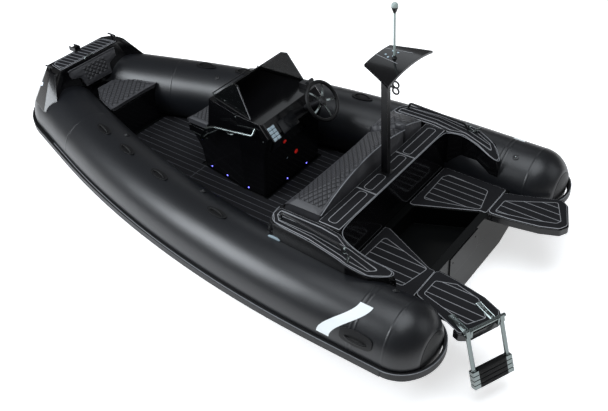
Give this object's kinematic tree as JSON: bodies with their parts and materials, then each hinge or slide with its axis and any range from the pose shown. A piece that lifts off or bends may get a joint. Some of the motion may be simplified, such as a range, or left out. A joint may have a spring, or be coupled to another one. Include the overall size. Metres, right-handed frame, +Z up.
{
  "type": "rigid inflatable boat",
  "caption": "Rigid-hulled inflatable boat with a side console, aft bench, bow seat, ski mast, swim platforms and a folding telescopic boarding ladder, afloat without an engine.",
  "frame": {"origin": "on the centreline at the waterline, between the swim platforms", "axes": "+X forward to the bow, +Y to port, +Z up"},
  "size_m": [4.9266, 2.494, 2.308],
  "materials": {
    "tube_fabric": "matt woven-faced synthetic rubber",
    "gloss_black": "polished black gelcoat",
    "deck_foam": "brushed foam decking with pale lines",
    "upholstery": "quilted marine vinyl",
    "stainless": "polished stainless steel",
    "dark_rubber": "moulded rubber",
    "tinted": "smoked acrylic",
    "black_metal": "satin black powder coat",
    "matt_black": "matt black plastic",
    "lamp": "white lens"
  },
  "bodies": {
    "boat": {"hull": "gloss_black", "tube_port": "tube_fabric", "tube_starboard": "tube_fabric", "tube_bow": "tube_fabric", "cone_port": "tube_fabric", "cone_starboard": "tube_fabric", "cone_caps": "dark_rubber", "rub_strake": "dark_rubber", "tube_handles": "dark_rubber", "aft_deck": "gloss_black", "crossbeam": "gloss_black", "side_deck_port": "gloss_black", "side_deck_starboard": "gloss_black", "swim_platform_port": "gloss_black", "swim_platform_starboard": "gloss_black", "bench_base": "gloss_black", "bench_cushion_starboard": "upholstery", "console": "gloss_black", "windscreen": "tinted", "console_rail": "stainless", "steering_column": "matt_black", "throttle": "matt_black", "switch_panel": "matt_black", "bow_locker": "gloss_black", "bow_backrest": "upholstery", "nose_step": "gloss_black", "nose_mat": "deck_foam", "bow_fittings": "stainless", "mast": "black_metal", "mast_wing": "gloss_black", "light_pole": "black_metal", "tow_hook": "stainless", "ladder_brackets": "stainless", "side_rails": "stainless", "mat_floor": "deck_foam", "mats_aft": "deck_foam", "mats_side": "deck_foam"},
    "wheel": {"steering_wheel": "matt_black"},
    "console_lid": {"console_seat": "upholstery"},
    "bench_lid": {"bench_cushion": "upholstery"},
    "bow_lid": {"bow_seat": "upholstery"},
    "ladder": {"ladder_frame": "stainless"},
    "ladder_2": {"ladder_stage_2": "stainless"},
    "ladder_3": {"ladder_stage_3": "stainless"},
    "ladder_4": {"ladder_stage_4": "stainless"}
  },
  "joints": [
    {"name": "steering_turn", "type": "hinge", "parent": "boat", "child": "wheel", "pos_m": [1.848, -0.315, 0.972], "axis": [-0.8192, 0, 0.5736], "range_deg": [-540, 540]},
    {"name": "console_seat_lift", "type": "hinge", "parent": "boat", "child": "console_lid", "pos_m": [2.927, -0.182, 0.612], "axis": [0, 1, 0], "range_deg": [0, 85]},
    {"name": "bench_lift", "type": "hinge", "parent": "boat", "child": "bench_lid", "pos_m": [1.455, 0.125, 0.69], "axis": [0, 1, 0], "range_deg": [0, 70]},
    {"name": "bow_seat_lift", "type": "hinge", "parent": "boat", "child": "bow_lid", "pos_m": [4, 0, 0.555], "axis": [0, 1, 0], "range_deg": [0, 70]},
    {"name": "ladder_fold", "type": "hinge", "parent": "boat", "child": "ladder", "pos_m": [-0.068, 0.665, 0.522], "axis": [-0.4226, -0.9063, 0], "range_deg": [-246, 0]},
    {"name": "ladder_slide_2", "type": "slide", "parent": "ladder", "child": "ladder_2", "axis": [-0.31, 0.1445, -0.9397], "range_m": [0, 0.22]},
    {"name": "ladder_slide_3", "type": "slide", "parent": "ladder_2", "child": "ladder_3", "axis": [-0.31, 0.1445, -0.9397], "range_m": [0, 0.22]},
    {"name": "ladder_slide_4", "type": "slide", "parent": "ladder_3", "child": "ladder_4", "axis": [-0.31, 0.1445, -0.9397], "range_m": [0, 0.22]}
  ]
}
